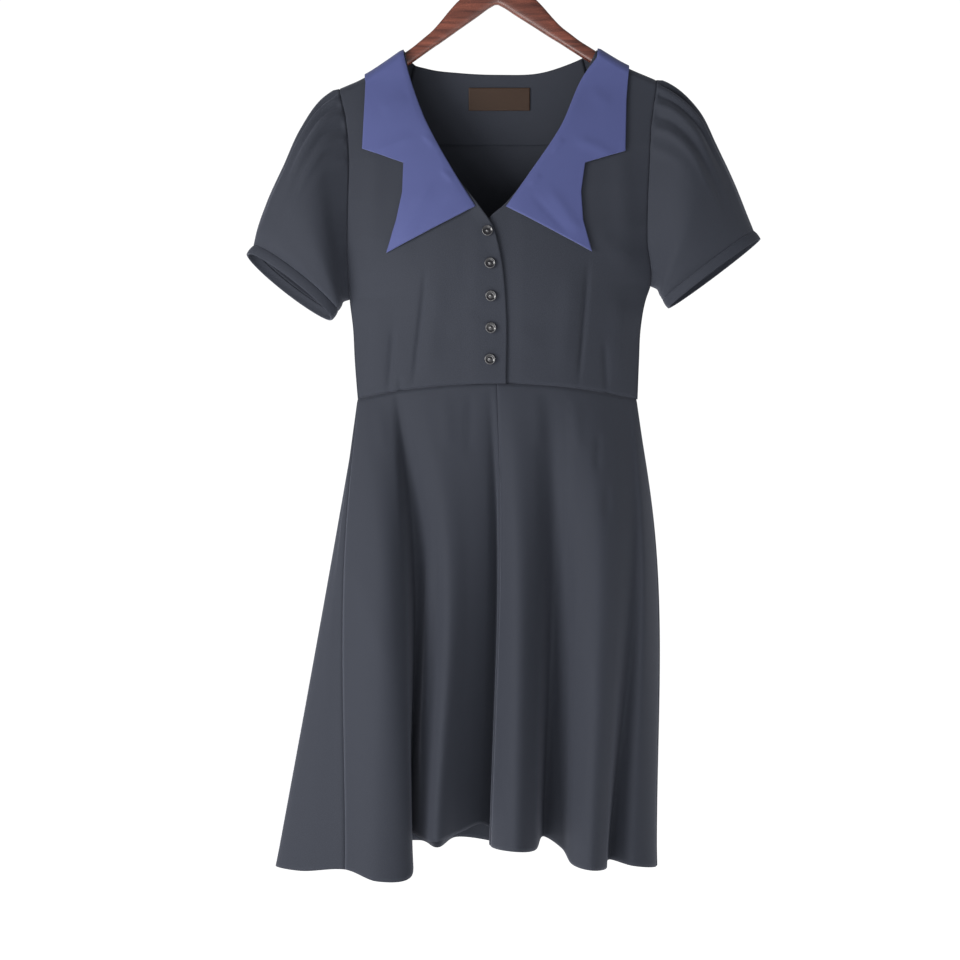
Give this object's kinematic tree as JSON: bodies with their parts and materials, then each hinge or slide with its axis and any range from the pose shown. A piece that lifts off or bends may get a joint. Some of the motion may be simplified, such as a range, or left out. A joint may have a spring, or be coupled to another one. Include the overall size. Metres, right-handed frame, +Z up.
{
  "type": "a-line dress on a wooden hanger",
  "caption": "Knee-length a-line dress with short puff sleeves, blue two-point collar, buttoned bodice and fluted skirt, hanging on a flat wooden hanger",
  "frame": {"origin": "the seat inside the top of the hanger's hook, where a rail or peg carries it", "axes": "+X to the wearer's left, the front of the dress faces -Y, +Z up"},
  "size_m": [0.6157, 0.1997, 1.1487],
  "materials": {
    "crepe": "matt black-blue crepe with a fine grain",
    "collar_cloth": "matt indigo twill",
    "label_weave": "woven label, copper thread on black, no lettering",
    "button_black": "polished, pewter rim and centre",
    "hanger_wood": "satin red-brown stain",
    "hook_steel": "bright"
  },
  "bodies": {
    "root": {"bodice_front_right": "crepe", "bodice_front_left": "crepe", "bodice_back": "crepe", "back_neck_facing": "crepe", "neck_label": "label_weave", "collar_right": "collar_cloth", "collar_left": "collar_cloth", "sleeve_right": "crepe", "sleeve_left": "crepe", "cuff_right": "crepe", "cuff_left": "crepe", "skirt_front_right": "crepe", "skirt_front_left": "crepe", "skirt_back": "crepe", "button_1": "button_black", "button_2": "button_black", "button_3": "button_black", "button_4": "button_black", "button_5": "button_black", "hanger_yoke": "hanger_wood", "hanger_hook": "hook_steel"}
  },
  "joints": []
}
